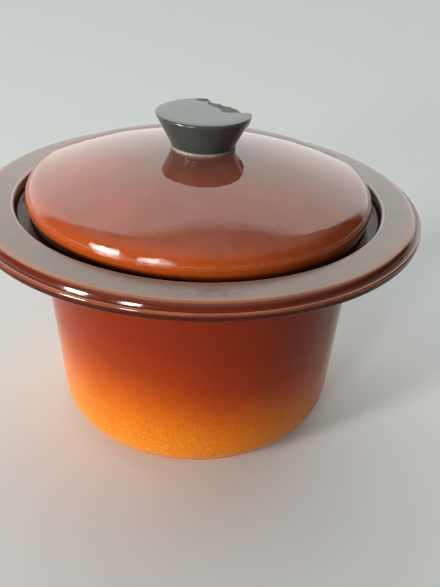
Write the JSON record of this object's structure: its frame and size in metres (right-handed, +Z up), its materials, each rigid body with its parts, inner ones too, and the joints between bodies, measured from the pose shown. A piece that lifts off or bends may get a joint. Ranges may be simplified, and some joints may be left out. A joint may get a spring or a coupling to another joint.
{
  "type": "lidded stoneware crock",
  "caption": "Round glazed stoneware cooking crock with a wide flat flange, a sunk domed lid and a black cone-shaped knob.",
  "frame": {"origin": "centre of the foot ring, on the surface that the crock stands on", "axes": "+Z up along the turning axis, +Y towards the back, where the knob's top edge is broken on the real object, +X to the right"},
  "size_m": [0.2822, 0.2822, 0.2072],
  "materials": {
    "pot_glaze": "glossy brown to orange glaze, brushed in a soft band, fine pale speckle low on the wall",
    "lid_glaze": "glossy red-brown glaze, thin and orange over the shoulder",
    "knob_black": "satin black moulded phenolic, broken at the top edge",
    "brass": "turned",
    "ring_pale": "pale fibre",
    "gasket_rubber": "matt",
    "steel": "plated, a little tarnished",
    "screw_steel": "plated, a little tarnished"
  },
  "bodies": {
    "pot": {"pot": "pot_glaze"},
    "lid": {"lid": "lid_glaze", "knob": "knob_black", "knob_insert": "brass", "knob_washer": "ring_pale", "lid_gasket": "gasket_rubber", "lid_washer": "steel", "knob_screw": "screw_steel"}
  },
  "joints": [
    {"name": "lid_lift", "type": "slide", "parent": "pot", "child": "lid", "axis": [0, 0, 1], "range_m": [0, 0.2]}
  ]
}
